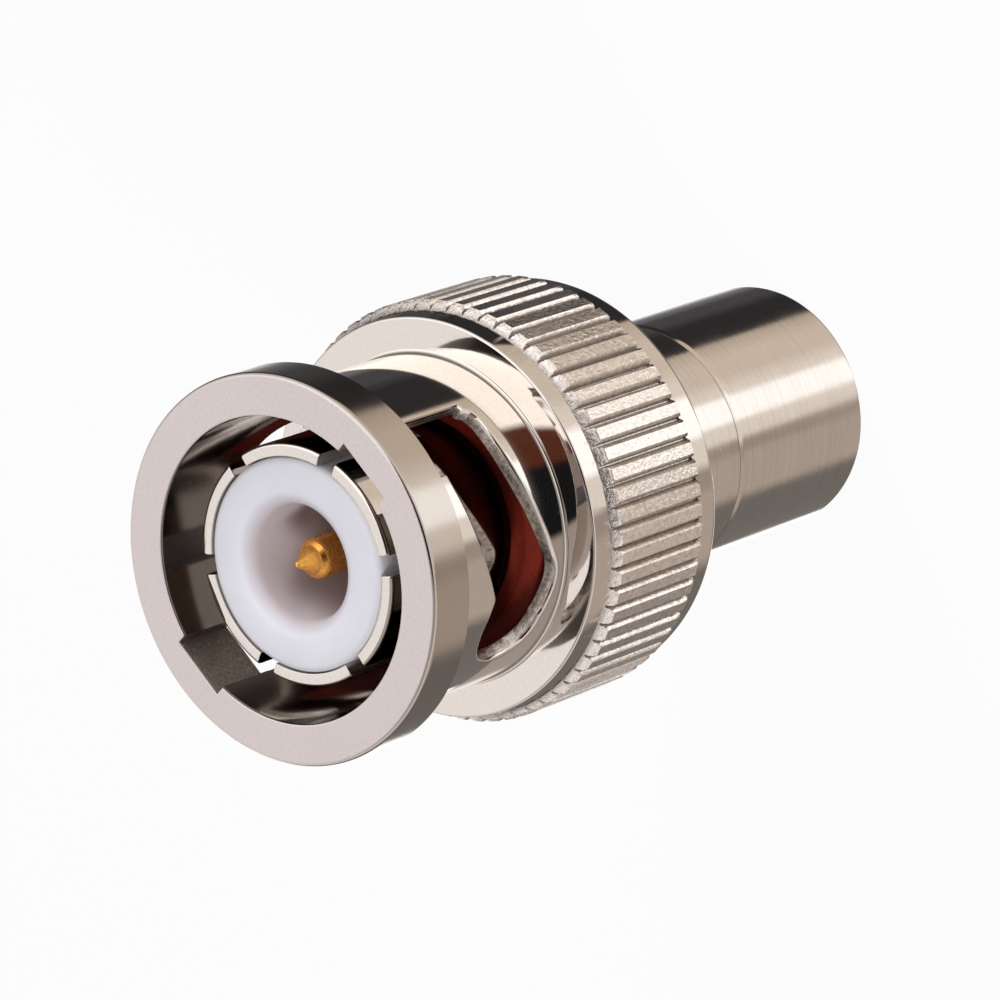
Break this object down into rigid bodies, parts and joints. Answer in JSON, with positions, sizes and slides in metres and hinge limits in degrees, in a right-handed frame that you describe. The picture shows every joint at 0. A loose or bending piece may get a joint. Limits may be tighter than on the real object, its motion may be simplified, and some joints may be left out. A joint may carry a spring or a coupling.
{
  "type": "bnc to rca adapter",
  "caption": "Round coaxial adapter: bayonet plug with turning knurled nut, spring fingers and centre pin at one end, phono jack barrel with socket at the other.",
  "frame": {"origin": "centre of the footprint, on the open end face of the phono barrel", "axes": "+Z along the adapter's axis, from the phono end towards the bayonet end; +X points through one of the nut's two keyways at rest"},
  "size_m": [0.014, 0.014, 0.0255],
  "materials": {
    "nickel_nut": "bright nickel plate on brass",
    "nickel_body": "bright nickel plate on brass",
    "nickel_barrel": "nickel plate on turned brass",
    "spring_steel": "bare spring steel",
    "red_silicone": "moulded silicone",
    "white_insulator": "turned white plastic",
    "gold_plate": "gold plate on brass"
  },
  "bodies": {
    "adapter_body": {"plug_body": "nickel_body", "jack_shell": "nickel_barrel", "plug_insulator": "white_insulator", "centre_pin": "gold_plate", "jack_insulator": "white_insulator", "socket_contact": "gold_plate", "gasket": "red_silicone", "wave_washer": "spring_steel"},
    "float_washer": {"thrust_washer": "spring_steel"},
    "bayonet_nut": {"coupling_nut": "nickel_nut", "retaining_ring": "spring_steel"}
  },
  "joints": [
    {"name": "nut_float", "type": "slide", "parent": "adapter_body", "child": "float_washer", "axis": [0, 0, 1], "range_m": [0, 0.0005], "stiffness_N_per_m": 10000, "springref_m": -0.0005, "deforming": ["wave_washer"]},
    {"name": "nut_turn", "type": "hinge", "parent": "float_washer", "child": "bayonet_nut", "pos_m": [0, 0, 0.0175], "axis": [0, 0, 1], "continuous": true}
  ]
}
